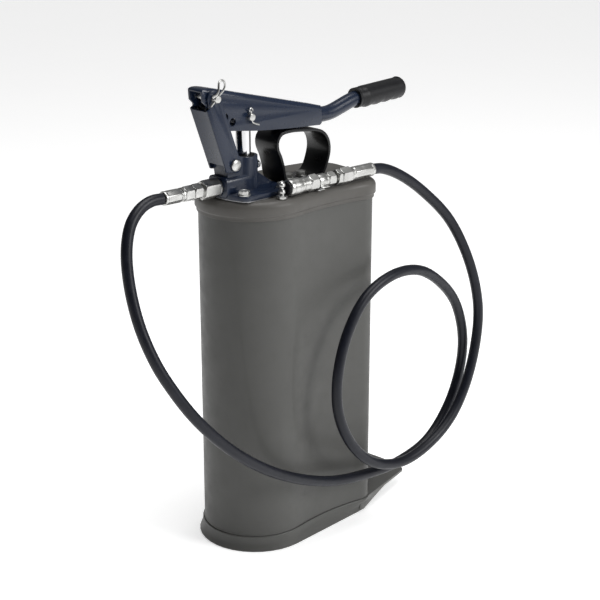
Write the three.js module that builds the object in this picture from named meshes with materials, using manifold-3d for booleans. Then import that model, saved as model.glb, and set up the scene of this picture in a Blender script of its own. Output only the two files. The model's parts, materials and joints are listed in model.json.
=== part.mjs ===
// Hand-operated gear oil pump: a kidney-shaped tank with a foot rest, a lever-worked plunger pump
// on its lid, a carry handle, and a delivery hose whose coupler is parked on the lid.
// Millimetres, +Z up. The origin is on the floor under the middle of the tank. +X is the direction
// that the lever points in, and -Y is the hollow front side of the kidney.
import * as THREE from "three";
import { mergeVertices } from "three/addons/utils/BufferGeometryUtils.js";
import Module from "manifold-3d";

const wasm = await Module();
wasm.setup();

// ---------------------------------------------------------------- driving dimensions
const GAP = 0.3;                      // clearance left between pieces that touch
const LID_TOP = 500;                  // height of the lid's flat top
const LID_SEAM = 474.5;               // lower edge of the lid's skirt
const TANK_TOP = 493;                 // rim of the tank shell
const SHEET = 1.5;                    // thickness of the tank's sheet steel
const SHANK_DEPTH = 2;                // how far the fasteners reach below the lid's top
const PAN_TOP = 21;                   // top of the pressed base
const PAN_FLOOR = 2;                  // floor sheet of the base
const SEAT_Z = 12;                    // ledge that the tank shell stands on
const POCKET_INSET = 12;              // width of that ledge
const REST_SHEET = 3;                 // thickness of the foot rest

// plan of the tank: three convex corner circles joined by tangent arcs
const ROUND_END = { x: -56, y: 1, r: 74 };
const FRONT_CORNER = { x: 88, y: -47, r: 25 };
const BACK_CORNER = { x: 91, y: 32, r: 40 };
const END_WALL_R = 260;
const BACK_WALL_R = 620;
const FRONT_HOLLOW_R = 340;
// where the base meets the floor its front is all but straight, from a smaller corner
const STRAIGHT_FRONT_R = 6000;
const FLOOR_CORNER = { x: 80, y: -44.5, r: 18 };

// pump head, in a local frame on the rod's axis at the top of the lid
const PUMP = new THREE.Vector3(-80, -8, LID_TOP);
const PLATE_Z = [1.8, 8];             // foot plate of the casting
const PLATE_X = [-47, 50];
const PLATE_HALF = 45;
const BOLT_SPOTS = [[-28, -34], [38, -34], [-28, 34], [38, 34]];
const RISER_R = 18.7;
const RISER_TOP = 52;
const OUTLET_Z = 16;                  // height of the outlet's axis over the lid
const BALL_SEAT_X = -17.2;            // seat of the outlet ball
const BLOCK_LEFT = -44;               // face that the outlet adapter is screwed into
const BLOCK_TOP = 30;
const BLEED_Z = 36;                   // height of the bleed screw
const LUG_R = 11.4;                   // round end of the lug that carries the link
const ROD_R = 10;
const LEFT_FERRULE_X = [-102.8, -134.5];

// linkage, in the pump's local frame
const LINK_PIN = new THREE.Vector2(-29, 45);
const FULCRUM = new THREE.Vector2(-62, 136);
const ROD_PIN = new THREE.Vector2(0, 104);
const LEVER_HALF = 14;                // half the lever channel's outer width
const LEVER_SHEET = 3;
const LINK_HALF = 17.7;               // half the link channel's outer width
const LINK_SHEET = 3.2;
const PIN_R = 5;
const EYE_R = 9.2;                    // the rod's eye is wide, so the pin can swing in it
const TUBE_R = 10.5;                  // handle tube
const GRIP_R = 13.4;
const GRIP_START = 206;
const GRIP_LENGTH = 95;
const GRIP_TILT = 0.056;              // rise of the grip towards its end, in radians
const SPARE_HOLES = [[-42, 109], [-29, 101]];
const CLIP_REACH = LINK_HALF + 4.2;   // how far the R-clip's plane stands from the pump's mid-plane
const CLIP_LEAN = -Math.PI * 0.235;   // tilt of the R-clip's straight leg
const COTTER_LEAN = Math.PI * 0.47;   // the cotter's shank stands nearly upright
// middle line of the cranked handle tube
const TUBE_POINTS = [
  [94, 89], [120, 88], [140, 86.6], [150, 86.5], [160, 87.9], [168.5, 90], [181, 93.8], [193, 97.3],
  [203, 99.6], [215, 101.2], [250, 103.3], [288, 105.5],
];

// cylinder and suction line under the lid, in the pump's local frame
const CYLINDER_R = [13.2, 15.9];
const CYLINDER_Z = [-112, 10];
const FOOT_VALVE_BOTTOM = -150;
const SUCTION_BOTTOM = -474;

// carry handle, coupler and parking nipple
const STRAP_HALF = 22;
const STRAP_SHEET = 4;
const COUPLER = { y: -64, z: 512.5 };
const NIPPLE = { x: -63, y: -64 };
const STRAP_BOLTS = [6, 31];
const CLIP_X = 5;
const COUPLER_STEM_R = 8.2;
// edges of the foot rest's skirts: [x, y at the top, y at the bottom, height of the bottom]
const SKIRT_SHEET = 2.4;
const FRONT_SKIRT = [
  [84, -73.7, -68.8, 0], [96, -72.4, -67.5, 0], [122, -65.2, -62.9, 9], [150, -57.6, -57.4, 17],
  [203, -43.5, -43.3, 17.4],
];
const BACK_SKIRT = [
  [84, 73.6, 78, 0], [100, 73.2, 76, 0], [124, 68, 68.6, 9], [150, 61.9, 61.7, 17],
  [203, 49.4, 49.2, 17.4],
];
const RIVET_SPOTS = [[150, -22], [150, 28]];
const RIVET_R = 3;
const RIVET_SINK = 2;                 // depth of the rivet's countersunk head
// the loop's middle line in (x, z), clockwise from the left foot
const STRAP_LOOP = [
  [-8, 503.4], [-15.5, 507.4], [-19, 518], [-21.5, 530], [-25.5, 542], [-30.6, 553], [-30.8, 564],
  [-24, 572.4], [-10, 574.6], [16, 573], [42, 569.4], [54, 563.6], [62, 553], [64.4, 540], [61, 525],
  [54.5, 511], [48.5, 505], [41, 503], [30, 502.6], [12, 502.6],
];

const HOSE_R = 7.5;
// middle line of the hose, from the outlet to the parked coupler
const HOSE_ROUTE = [
  [-216, -8, 516], [-232, -8, 516], [-251, -10, 510], [-270, -15, 495], [-283, -22, 469], [-290, -33, 430],
  [-291, -52, 378], [-282, -71, 330], [-265, -84, 291], [-239, -95, 249], [-198, -101, 203],
  [-152, -102, 164], [-104, -100, 132], [-49, -97, 104], [9, -94, 83], [73, -92, 72], [142, -90, 69],
  [208, -88, 84], [256, -84, 122], [285, -80, 170], [291, -80, 222], [268, -84, 284], [222, -90, 331],
  [168, -96, 361], [110, -100, 366], [57, -102, 346], [18, -105, 300], [-2, -108, 240], [0, -110, 190],
  [25, -112, 138], [68, -113, 99], [125, -113, 82], [182, -112, 91], [233, -110, 118], [270, -106, 160],
  [294, -103, 222], [302, -98, 278], [291, -88, 344], [260, -74, 412], [210, -66, 462], [161, -64, 495],
  [125, -64, 510], [105, -64, 512.5],
];

// ---------------------------------------------------------------- materials
const paint = (color, roughness, metalness = 0.1) =>
  new THREE.MeshStandardMaterial({ color, roughness, metalness });
const greyPaint = paint(0x5f5f5c, 0.45);
const lidPaint = paint(0x62605c, 0.5);
const navyPaint = paint(0x1f2b42, 0.35);
const blackPaint = paint(0x14151a, 0.4);
const zinc = paint(0xc9cac6, 0.3, 0.95);
const steel = paint(0xb5b6b8, 0.2, 1);
const darkSteel = paint(0x8d8f92, 0.4, 0.9);
const rubber = paint(0x17181c, 0.6, 0);
const hoseRubber = paint(0x1e2028, 0.55, 0);
const brassTone = paint(0xb08d4f, 0.3, 0.95);

// ---------------------------------------------------------------- solid helpers
// one closed skin: shared vertices merged, collapsed triangles dropped, faces pointing out
function closedSkin(geometry) {
  const bare = geometry.index ? geometry.toNonIndexed() : geometry.clone();
  for (const name of ["normal", "uv"]) bare.deleteAttribute(name);
  const merged = mergeVertices(bare, 1e-4);
  const p = merged.attributes.position.array;
  const index = merged.index.array;
  const kept = [];
  let volume = 0;
  for (let i = 0; i < index.length; i += 3) {
    const [a, b, c] = [index[i], index[i + 1], index[i + 2]];
    if (a === b || b === c || c === a) continue;
    kept.push(a, b, c);
    volume += p[3 * a] * (p[3 * b + 1] * p[3 * c + 2] - p[3 * b + 2] * p[3 * c + 1])
      - p[3 * a + 1] * (p[3 * b] * p[3 * c + 2] - p[3 * b + 2] * p[3 * c])
      + p[3 * a + 2] * (p[3 * b] * p[3 * c + 1] - p[3 * b + 1] * p[3 * c]);
  }
  merged.setIndex(volume < 0 ? kept.reverse() : kept);
  return merged;
}

function solid(geometry) {
  const skin = closedSkin(geometry);
  const mesh = new wasm.Mesh({
    numProp: 3,
    vertProperties: new Float32Array(skin.attributes.position.array),
    triVerts: new Uint32Array(skin.index.array),
  });
  return new wasm.Manifold(mesh);
}

function geometryOf(manifold) {
  const mesh = manifold.getMesh();
  const geometry = new THREE.BufferGeometry();
  geometry.setAttribute("position", new THREE.BufferAttribute(mesh.vertProperties, 3));
  geometry.setIndex(new THREE.BufferAttribute(mesh.triVerts, 1));
  geometry.computeVertexNormals();
  return geometry;
}

function cut(base, ...tools) {
  let body = solid(base);
  for (const tool of tools) body = body.subtract(solid(tool));
  return geometryOf(body);
}

function join(...parts) {
  let body = solid(parts[0]);
  for (const part of parts.slice(1)) body = body.add(solid(part));
  return geometryOf(body);
}

// turns a Z-up shape so that its own +Z points along the named direction
const TURN = {
  z: [0, 0, 0],
  x: [0, Math.PI / 2, 0],
  "-x": [0, -Math.PI / 2, 0],
  y: [-Math.PI / 2, 0, 0],
  "-y": [Math.PI / 2, 0, 0],
};

function turned(geometry, direction, x = 0, y = 0, z = 0) {
  const [rx, ry, rz] = TURN[direction];
  return geometry.rotateX(rx).rotateY(ry).rotateZ(rz).translate(x, y, z);
}

// a turned piece: profile is a list of [radius, height] that starts and ends on the axis or closes
function lathe(profile, segments = 24) {
  const points = profile.map(([r, z]) => new THREE.Vector2(r, z));
  const open = profile[0][0] > 0;
  if (open) points.push(points[0].clone());
  return new THREE.LatheGeometry(points, segments).rotateX(Math.PI / 2);
}

function rod(radius, z0, z1, segments = 20) {
  return new THREE.CylinderGeometry(radius, radius, z1 - z0, segments)
    .rotateX(Math.PI / 2).translate(0, 0, (z0 + z1) / 2);
}

function ring(inner, outer, z0, z1, segments = 24) {
  return lathe([[inner, z0], [outer, z0], [outer, z1], [inner, z1]], segments);
}

function hexagon(acrossFlats) {
  const r = acrossFlats / Math.sqrt(3);
  const shape = new THREE.Shape();
  for (let i = 0; i < 6; i += 1) {
    const a = (i * Math.PI) / 3;
    if (i === 0) shape.moveTo(r * Math.cos(a), r * Math.sin(a));
    else shape.lineTo(r * Math.cos(a), r * Math.sin(a));
  }
  return shape;
}

function hexBar(acrossFlats, z0, z1) {
  return extrude(hexagon(acrossFlats), z0, z1);
}

function hexNut(acrossFlats, bore, z0, z1) {
  const shape = hexagon(acrossFlats);
  shape.holes.push(circlePath(0, 0, bore, 18));
  return extrude(shape, z0, z1);
}

function extrude(shape, z0, z1, curveSegments = 12) {
  const geometry = new THREE.ExtrudeGeometry(shape, {
    depth: z1 - z0, bevelEnabled: false, curveSegments,
  });
  return geometry.translate(0, 0, z0);
}

function circlePath(x, y, r, segments = 24) {
  const path = new THREE.Path();
  for (let i = 0; i <= segments; i += 1) {
    const a = (-i * 2 * Math.PI) / segments;
    const px = x + r * Math.cos(a);
    const py = y + r * Math.sin(a);
    if (i === 0) path.moveTo(px, py);
    else path.lineTo(px, py);
  }
  return path;
}

function box(x0, x1, y0, y1, z0, z1) {
  return new THREE.BoxGeometry(x1 - x0, y1 - y0, z1 - z0)
    .translate((x0 + x1) / 2, (y0 + y1) / 2, (z0 + z1) / 2);
}

// an outline in the XZ plane, given as a Shape in (x, z), with its thickness along Y
function sidePlate(shape, y0, y1, curveSegments = 8) {
  const geometry = new THREE.ExtrudeGeometry(shape, {
    depth: y1 - y0, bevelEnabled: false, curveSegments,
  });
  return geometry.rotateX(Math.PI / 2).translate(0, y1, 0);
}

function polygon(points) {
  return new THREE.Shape(points.map(([x, y]) => new THREE.Vector2(x, y)));
}

// convex outline with its corners rounded by the given radius
function roundedPolygon(points, radius, steps = 4) {
  const shape = new THREE.Shape();
  const n = points.length;
  for (let i = 0; i < n; i += 1) {
    const here = new THREE.Vector2(...points[i]);
    const before = new THREE.Vector2(...points[(i + n - 1) % n]).sub(here).normalize();
    const after = new THREE.Vector2(...points[(i + 1) % n]).sub(here).normalize();
    const half = Math.acos(THREE.MathUtils.clamp(before.dot(after), -1, 1)) / 2;
    const reach = radius / Math.tan(half);
    const start = here.clone().addScaledVector(before, reach);
    const end = here.clone().addScaledVector(after, reach);
    const bisector = before.clone().add(after).normalize();
    const centre = here.clone().addScaledVector(bisector, radius / Math.sin(half));
    const a0 = Math.atan2(start.y - centre.y, start.x - centre.x);
    let sweep = Math.atan2(end.y - centre.y, end.x - centre.x) - a0;
    if (sweep > Math.PI) sweep -= 2 * Math.PI;
    if (sweep < -Math.PI) sweep += 2 * Math.PI;
    for (let k = 0; k <= steps; k += 1) {
      const a = a0 + (sweep * k) / steps;
      const x = centre.x + radius * Math.cos(a);
      const y = centre.y + radius * Math.sin(a);
      if (i === 0 && k === 0) shape.moveTo(x, y);
      else shape.lineTo(x, y);
    }
  }
  return shape;
}

// ---------------------------------------------------------------- kidney-shaped rings
// centre of a circle at distance da from a and db from b, on the given side of the line a to b
function centreBetween(a, b, da, db, side) {
  const dx = b.x - a.x;
  const dy = b.y - a.y;
  const d = Math.hypot(dx, dy);
  const along = (da * da - db * db + d * d) / (2 * d);
  const across = side * Math.sqrt(da * da - along * along);
  return {
    x: a.x + (along * dx - across * dy) / d,
    y: a.y + (along * dy + across * dx) / d,
  };
}

const heading = (from, to) => Math.atan2(to.y - from.y, to.x - from.x);

// arcs of the tank's plan, anticlockwise; straight gives the outline that stands on the floor
function planArcs(straight) {
  const L = ROUND_END;
  const F = straight ? FLOOR_CORNER : FRONT_CORNER;
  const B = BACK_CORNER;
  const end = centreBetween(F, B, END_WALL_R - F.r, END_WALL_R - B.r, 1);
  const back = centreBetween(B, L, BACK_WALL_R - B.r, BACK_WALL_R - L.r, 1);
  const R = straight ? STRAIGHT_FRONT_R : FRONT_HOLLOW_R;
  const sign = straight ? -1 : 1;
  const front = centreBetween(L, F, R + sign * L.r, R + sign * F.r, -sign);
  const frontLeft = straight ? heading(front, L) : heading(L, front);
  const frontRight = straight ? heading(front, F) : heading(F, front);
  const a0 = heading(end, F);
  const a1 = heading(end, B);
  const a2 = heading(back, B);
  const a3 = heading(back, L);
  const turn = 2 * Math.PI;
  const up = (angle, floor) => (angle < floor ? angle + turn : angle);
  return [
    { c: end, r: END_WALL_R, from: a0, to: a1, n: 4 },
    { c: B, r: B.r, from: a1, to: a2, n: 8 },
    { c: back, r: BACK_WALL_R, from: a2, to: up(a3, a2), n: 6 },
    { c: L, r: L.r, from: up(a3, a2), to: up(frontLeft, Math.PI), n: 18 },
    { c: front, r: R, from: up(frontLeft, Math.PI), to: up(frontRight, Math.PI), n: 8, hollow: !straight },
    { c: F, r: F.r, from: up(frontRight, Math.PI), to: a0 + turn, n: 8 },
  ];
}

const HOLLOW_PLAN = planArcs(false);
const FLOOR_PLAN = planArcs(true);

// outline of the tank's plan, grown outwards by the given distance
function planRing(grow, plan = HOLLOW_PLAN) {
  const points = [];
  for (const arc of plan) {
    for (let i = 0; i < arc.n; i += 1) {
      const a = arc.from + ((arc.to - arc.from) * i) / arc.n;
      const reach = arc.hollow ? grow - arc.r : grow + arc.r;
      points.push(new THREE.Vector2(arc.c.x + reach * Math.cos(a), arc.c.y + reach * Math.sin(a)));
    }
  }
  return points;
}

// a solid swept round the plan: rows are [grow, z]; closed rows make a ring with a hole
function kidney(rows, closed = false) {
  const rings = rows.map(([grow, z]) => planRing(grow).map((p) => [p.x, p.y, z]));
  return loft(rings, closed);
}

// skin over rings of equally many points; the last ring joins the first when closed, and flat
// faces cap both ends when not
function loft(rings, closed) {
  const n = rings[0].length;
  const positions = [];
  const at = (k, i) => rings[k % rings.length][i % n];
  const last = closed ? rings.length : rings.length - 1;
  for (let k = 0; k < last; k += 1) {
    for (let i = 0; i < n; i += 1) {
      positions.push(...at(k, i), ...at(k, i + 1), ...at(k + 1, i + 1));
      positions.push(...at(k, i), ...at(k + 1, i + 1), ...at(k + 1, i));
    }
  }
  if (!closed) {
    for (const [k, flip] of [[0, true], [rings.length - 1, false]]) {
      const flat = rings[k].map(([x, y]) => new THREE.Vector2(x, y));
      for (const [a, b, c] of THREE.ShapeUtils.triangulateShape(flat, [])) {
        const order = flip ? [a, c, b] : [a, b, c];
        for (const i of order) positions.push(...at(k, i));
      }
    }
  }
  const geometry = new THREE.BufferGeometry();
  geometry.setAttribute("position", new THREE.Float32BufferAttribute(positions, 3));
  return geometry;
}

// skin over four-cornered sections in a row, closed at both ends
function strip(sections) {
  const positions = [];
  const quad = (a, b, c, d) => positions.push(...a, ...b, ...c, ...a, ...c, ...d);
  sections.slice(1).forEach((next, k) => {
    const here = sections[k];
    here.forEach((corner, i) => {
      const j = (i + 1) % here.length;
      quad(corner, here[j], next[j], next[i]);
    });
  });
  quad(...sections[0].toReversed());
  quad(...sections.at(-1));
  const geometry = new THREE.BufferGeometry();
  geometry.setAttribute("position", new THREE.Float32BufferAttribute(positions, 3));
  return geometry;
}

// ---------------------------------------------------------------- scene graph helpers
const pump = new THREE.Group();
pump.name = "gear_oil_pump";
const head = new THREE.Group();       // everything measured from the rod's axis on the lid
head.position.copy(PUMP);
pump.add(head);

function add(parent, name, geometry, material) {
  const skin = closedSkin(geometry);
  skin.computeVertexNormals();
  const mesh = new THREE.Mesh(skin, material);
  mesh.name = name;
  parent.add(mesh);
  return mesh;
}

// ---------------------------------------------------------------- tank
function buildTank() {
  const floor = PAN_TOP - 4;
  const foot = SEAT_Z + GAP;
  add(pump, "tank_shell", kidney([
    [-SHEET, foot], [0, foot], [0, TANK_TOP], [-SHEET, TANK_TOP],
  ], true), greyPaint);
  add(pump, "tank_bottom", kidney([
    [-SHEET - GAP, floor], [-SHEET - GAP, floor + SHEET],
  ]), greyPaint);
}

// flared rim, floor sheet and cantilevered foot rest of the pressed base
function buildBase() {
  // [height, growth of the outline, share of the tank's hollow outline in it]
  const rings = [
    [0, 6.8, 0], [1.2, 7.4, 0], [4.5, 5.8, 0.08], [8.5, 4.3, 0.32], [12.5, 3.3, 0.66], [16, 2.7, 0.9],
    [18, 2.6, 1], [19.8, 2.7, 1], [PAN_TOP, 2, 1],
  ].map(([z, grow, share]) => {
    const straight = planRing(grow, FLOOR_PLAN);
    return planRing(grow).map((p, i) => [
      THREE.MathUtils.lerp(straight[i].x, p.x, share), THREE.MathUtils.lerp(straight[i].y, p.y, share), z,
    ]);
  });
  const rim = loft(rings, false);
  const seat = kidney([[GAP, SEAT_Z], [GAP, PAN_TOP + 1]]);
  const pocket = kidney([[-POCKET_INSET, PAN_FLOOR], [-POCKET_INSET, SEAT_Z + 1]]);
  const tongue = extrude(roundedPolygon(
    [[88, -73], [96, -71.4], [207, -42], [211, 3], [207, 48], [96, 74.4], [88, 73]], 6,
  ), PAN_TOP - REST_SHEET, PAN_TOP);
  const skirt = (stations, thickness) => strip(stations.map(([x, yTop, yBottom, zBottom]) => [
    [x, yTop, PAN_TOP], [x, yBottom, zBottom],
    [x, yBottom + thickness, zBottom], [x, yTop + thickness, PAN_TOP],
  ]));
  const frontSkirt = skirt(FRONT_SKIRT, SKIRT_SHEET);
  const backSkirt = skirt(BACK_SKIRT, -SKIRT_SHEET);
  const rivetHoles = RIVET_SPOTS.map(([x, y]) => countersink(GAP).translate(x, y, 0));
  const pan = join(rim, tongue, frontSkirt, backSkirt);
  add(pump, "base_pan", cut(pan, seat, pocket, ...rivetHoles), greyPaint);
  RIVET_SPOTS.forEach(([x, y], i) => {
    const under = PAN_TOP - REST_SHEET - GAP;
    const rivet = lathe([
      [0, under - 1.2], [4.6, under - 1.2], [4.6, under], [RIVET_R, under], [RIVET_R, PAN_TOP - RIVET_SINK],
      [RIVET_R + RIVET_SINK, PAN_TOP - 0.2], [0, PAN_TOP - 0.2],
    ], 16);
    add(pump, `foot_rest_rivet_${i + 1}`, rivet.translate(x, y, 0), greyPaint);
  });
}

// hole for a rivet whose head lies flush in the foot rest
function countersink(room) {
  const r = RIVET_R + room;
  return lathe([
    [0, PAN_TOP - REST_SHEET - 2], [r, PAN_TOP - REST_SHEET - 2], [r, PAN_TOP - RIVET_SINK],
    [r + RIVET_SINK, PAN_TOP], [r + RIVET_SINK, PAN_TOP + 2], [0, PAN_TOP + 2],
  ], 16);
}

function buildLid() {
  const top = LID_TOP;
  const shoulder = 9;
  const outer = 4.5;
  const wall = 1.6;
  const rows = [[outer - shoulder, top]];
  const arc = 4;
  for (let i = 1; i <= arc; i += 1) {
    const a = (i * Math.PI) / (2 * arc);
    rows.unshift([outer - shoulder + shoulder * Math.sin(a), top - shoulder + shoulder * Math.cos(a)]);
  }
  const outside = [[2.2, LID_SEAM], [2.2, LID_SEAM + 5.2], [outer, LID_SEAM + 6.8], ...rows];
  const shell = kidney(outside);
  const inner = outer - wall;
  const roof = top - wall;
  const hollow = kidney([
    [0.5, LID_SEAM - 2], [0.5, LID_SEAM + 5.8], [inner, LID_SEAM + 8.4], [inner, roof - 7],
    [inner - 1.6, roof - 3.2], [inner - 4.6, roof - 0.8], [inner - 7.6, roof],
  ]);
  const holes = [
    rod(22.4, top - 8, top + 4, 28).translate(PUMP.x, PUMP.y, 0),
    ...BOLT_SPOTS.map(([x, y]) => rod(4.4, top - 8, top + 4, 14).translate(PUMP.x + x, PUMP.y + y, 0)),
    ...STRAP_BOLTS.map((x) => rod(4.4, top - 8, top + 4, 14).translate(x, 0, 0)),
    rod(3.4, top - 8, top + 4, 14).translate(CLIP_X, COUPLER.y, 0),
    rod(4.4, top - 8, top + 4, 14).translate(NIPPLE.x, NIPPLE.y, 0),
  ];
  add(pump, "lid", cut(shell, hollow, ...holes), lidPaint);
  add(pump, "lid_gasket", kidney([
    [-4, TANK_TOP + GAP], [-0.3, TANK_TOP + GAP], [-2.8, LID_TOP - wall - 1], [-4, LID_TOP - wall - 1],
  ], true), rubber);
}

// ---------------------------------------------------------------- pump head
function plateShape(grow = 0) {
  const shape = new THREE.Shape();
  const [x0, x1] = [PLATE_X[0] - grow, PLATE_X[1] + grow];
  const h = PLATE_HALF + grow;
  const r = 9;
  const bow = 13;
  shape.moveTo(x0 + bow + r, -h);
  shape.lineTo(x1 - r, -h);
  shape.quadraticCurveTo(x1, -h, x1, -h + r);
  shape.lineTo(x1, h - r);
  shape.quadraticCurveTo(x1, h, x1 - r, h);
  shape.lineTo(x0 + bow + r, h);
  shape.quadraticCurveTo(x0 + bow, h, x0 + bow - 3, h - r);
  shape.quadraticCurveTo(x0 - 4, 0, x0 + bow - 3, -h + r);
  shape.quadraticCurveTo(x0 + bow, -h, x0 + bow + r, -h);
  return shape;
}

function buildCasting() {
  const plate = extrude(plateShape(), PLATE_Z[0], PLATE_Z[1], 6);
  const riser = rod(RISER_R, PLATE_Z[0], RISER_TOP, 32);
  const blockShape = roundedPolygon(
    [[-RISER_R, 3], [RISER_R, 3], [RISER_R, BLOCK_TOP], [-RISER_R, BLOCK_TOP]], 7, 3,
  );
  const block = extrude(blockShape, 0, -BLOCK_LEFT)
    .rotateX(Math.PI / 2).rotateZ(-Math.PI / 2);
  const lug = new THREE.Shape();
  lug.moveTo(0, 12);
  lug.lineTo(0, 50);
  lug.lineTo(LINK_PIN.x + 4, LINK_PIN.y + LUG_R);
  lug.absarc(LINK_PIN.x, LINK_PIN.y, LUG_R, Math.PI * 0.42, Math.PI * 1.06);
  lug.lineTo(LINK_PIN.x - 8, 20);
  lug.lineTo(LINK_PIN.x - 8, 12);
  const lugPlate = sidePlate(lug, -13.4, 13.4);
  const gusset = sidePlate(polygon([[10, 4], [46, 4], [46, 9], [RISER_R - 1, 29], [10, 29]]), -3.5, 3.5);
  const spigot = rod(21.8, -12, PLATE_Z[0] + 1, 28);
  const bleedBoss = turned(rod(6, 0, RISER_R + 2.6, 14), "x", 0, 0, BLEED_Z);
  const body = join(plate, riser, block, lugPlate, gusset, spigot, bleedBoss);
  const bores = [
    rod(ROD_R + 0.9, -20, 60, 24),
    rod(14.9, 40, 60, 28),
    rod(16.2, -20, CYLINDER_Z[1] + 1, 28),
    turned(rod(9.3, 0, 40, 20), "-x", BALL_SEAT_X, 0, OUTLET_Z),
    turned(rod(4, 0, 20, 14), "-x", 0, 0, OUTLET_Z),
    turned(rod(3, 0, 12, 12), "x", RISER_R - 5, 0, BLEED_Z),
    turned(rod(PIN_R + GAP, -30, 30, 18), "y", LINK_PIN.x, 0, LINK_PIN.y),
    ...BOLT_SPOTS.map(([x, y]) => rod(4.4, -2, 14, 14).translate(x, y, 0)),
  ];
  add(head, "pump_casting", cut(body, ...bores), navyPaint);
  const gasket = plateShape(-1);
  add(head, "casting_gasket", cut(
    extrude(gasket, GAP, PLATE_Z[0] - GAP, 6),
    rod(22.4, -2, 4, 28),
    ...BOLT_SPOTS.map(([x, y]) => rod(4.4, -2, 4, 14).translate(x, y, 0)),
  ), darkSteel);
  BOLT_SPOTS.forEach(([x, y], i) => {
    const bolt = join(
      rod(3.9, -SHANK_DEPTH, PLATE_Z[1] + 3, 14),
      ring(3, 8.2, PLATE_Z[1] + GAP, PLATE_Z[1] + 1.7, 20),
      hexBar(13, PLATE_Z[1] + 1.5, PLATE_Z[1] + 6.6),
    );
    add(head, `casting_bolt_${i + 1}`, bolt.translate(x, y, 0), zinc);
  });
  add(head, "gland_ring", lathe([
    [ROD_R + 0.4, 40.3], [14.6, 40.3], [14.6, RISER_TOP - 0.6],
    [13.4, RISER_TOP + 0.8], [ROD_R + 0.4, RISER_TOP + 0.8],
  ], 28), rubber);
  const screw = join(
    rod(2.7, RISER_R - 4.5, RISER_R + 6, 12),
    hexBar(10, RISER_R + 2.9, RISER_R + 7),
    rod(3.4, RISER_R + 6.5, RISER_R + 9, 12),
  );
  add(head, "bleed_screw", turned(screw, "x", 0, 0, BLEED_Z), darkSteel);
}

// ---------------------------------------------------------------- cylinder and suction line
function buildCylinder() {
  const [bore, wall] = CYLINDER_R;
  add(head, "cylinder_tube", ring(bore, wall, CYLINDER_Z[0], CYLINDER_Z[1], 24), zinc);
  const top = CYLINDER_Z[0] - GAP;
  const low = FOOT_VALVE_BOTTOM;
  add(head, "foot_valve_body", lathe([
    [5, low], [8.8, low], [8.8, low + 10], [wall, low + 13], [wall, top], [5.4, top], [5.4, top - 8],
    [9, top - 11], [9, top - 18], [5, top - 22],
  ], 24), brassTone);
  add(head, "foot_ball", new THREE.SphereGeometry(6.6, 14, 10).translate(0, 0, top - 17.2), steel);
  add(head, "suction_tube", ring(9.1, 11, SUCTION_BOTTOM, low + 9.7, 20), zinc);
  const mouth = SUCTION_BOTTOM - GAP;
  const slots = [];
  for (let i = 0; i < 4; i += 1) {
    slots.push(box(-20, 20, -1.4, 1.4, mouth - 2, mouth + 18).rotateZ((i * Math.PI) / 4));
  }
  const cup = lathe([
    [0, mouth - 4], [13.6, mouth - 4], [13.6, mouth + 24], [11.3, mouth + 24], [11.3, mouth],
    [8, mouth], [8, mouth - 2], [0, mouth - 2],
  ], 24);
  add(head, "suction_strainer", cut(cup, ...slots), darkSteel);
}

function buildRod() {
  const shank = lathe([
    [0, -110], [5, -110], [5, -82], [ROD_R, -82], [ROD_R, 92], [0, 92],
  ], 28);
  const eye = turned(rod(15, -9.8, 9.8, 24), "y", ROD_PIN.x, 0, ROD_PIN.y);
  const hole = turned(rod(EYE_R, -14, 14, 22), "y", ROD_PIN.x, 0, ROD_PIN.y);
  add(head, "pump_rod", cut(join(shank, eye), hole), steel);
  const r = CYLINDER_R[0] - GAP;
  add(head, "piston", ring(5.3, r, -98, -82 - GAP, 24), darkSteel);
  add(head, "piston_seal", lathe([
    [5.3, -102.4], [10, -102.4], [r, -100.8], [r, -98.3], [5.3, -98.3],
  ], 24), rubber);
  add(head, "piston_nut", hexNut(13, 5.3, -109, -102.7), zinc);
}

// ---------------------------------------------------------------- link, lever and handle
function linkShape() {
  const along = FULCRUM.clone().sub(LINK_PIN).normalize();
  const across = new THREE.Vector2(along.y, -along.x);    // towards the front edge
  const at = (origin, a, b) => origin.clone().addScaledVector(along, a).addScaledVector(across, b);
  const back = -16;
  const front = 9.5;
  const shape = new THREE.Shape();
  const span = FULCRUM.distanceTo(LINK_PIN);
  const lean = Math.atan2(along.y, along.x);
  const foot = at(LINK_PIN, -2, back);
  const top = at(LINK_PIN, span - 10, back);
  shape.moveTo(top.x, top.y);
  shape.lineTo(foot.x, foot.y);
  shape.absarc(LINK_PIN.x, LINK_PIN.y, 11.2, lean - Math.PI * 0.98, lean - Math.PI * 0.35);
  const shoulder = at(LINK_PIN, span - 16, front);
  shape.lineTo(shoulder.x, shoulder.y);
  shape.absarc(FULCRUM.x, FULCRUM.y, 10.6, lean - Math.PI * 0.42, lean + Math.PI * 0.42);
  const step = at(LINK_PIN, span - 9, back + 5);
  shape.lineTo(step.x, step.y);
  return { shape, at, back, span };
}

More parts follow.
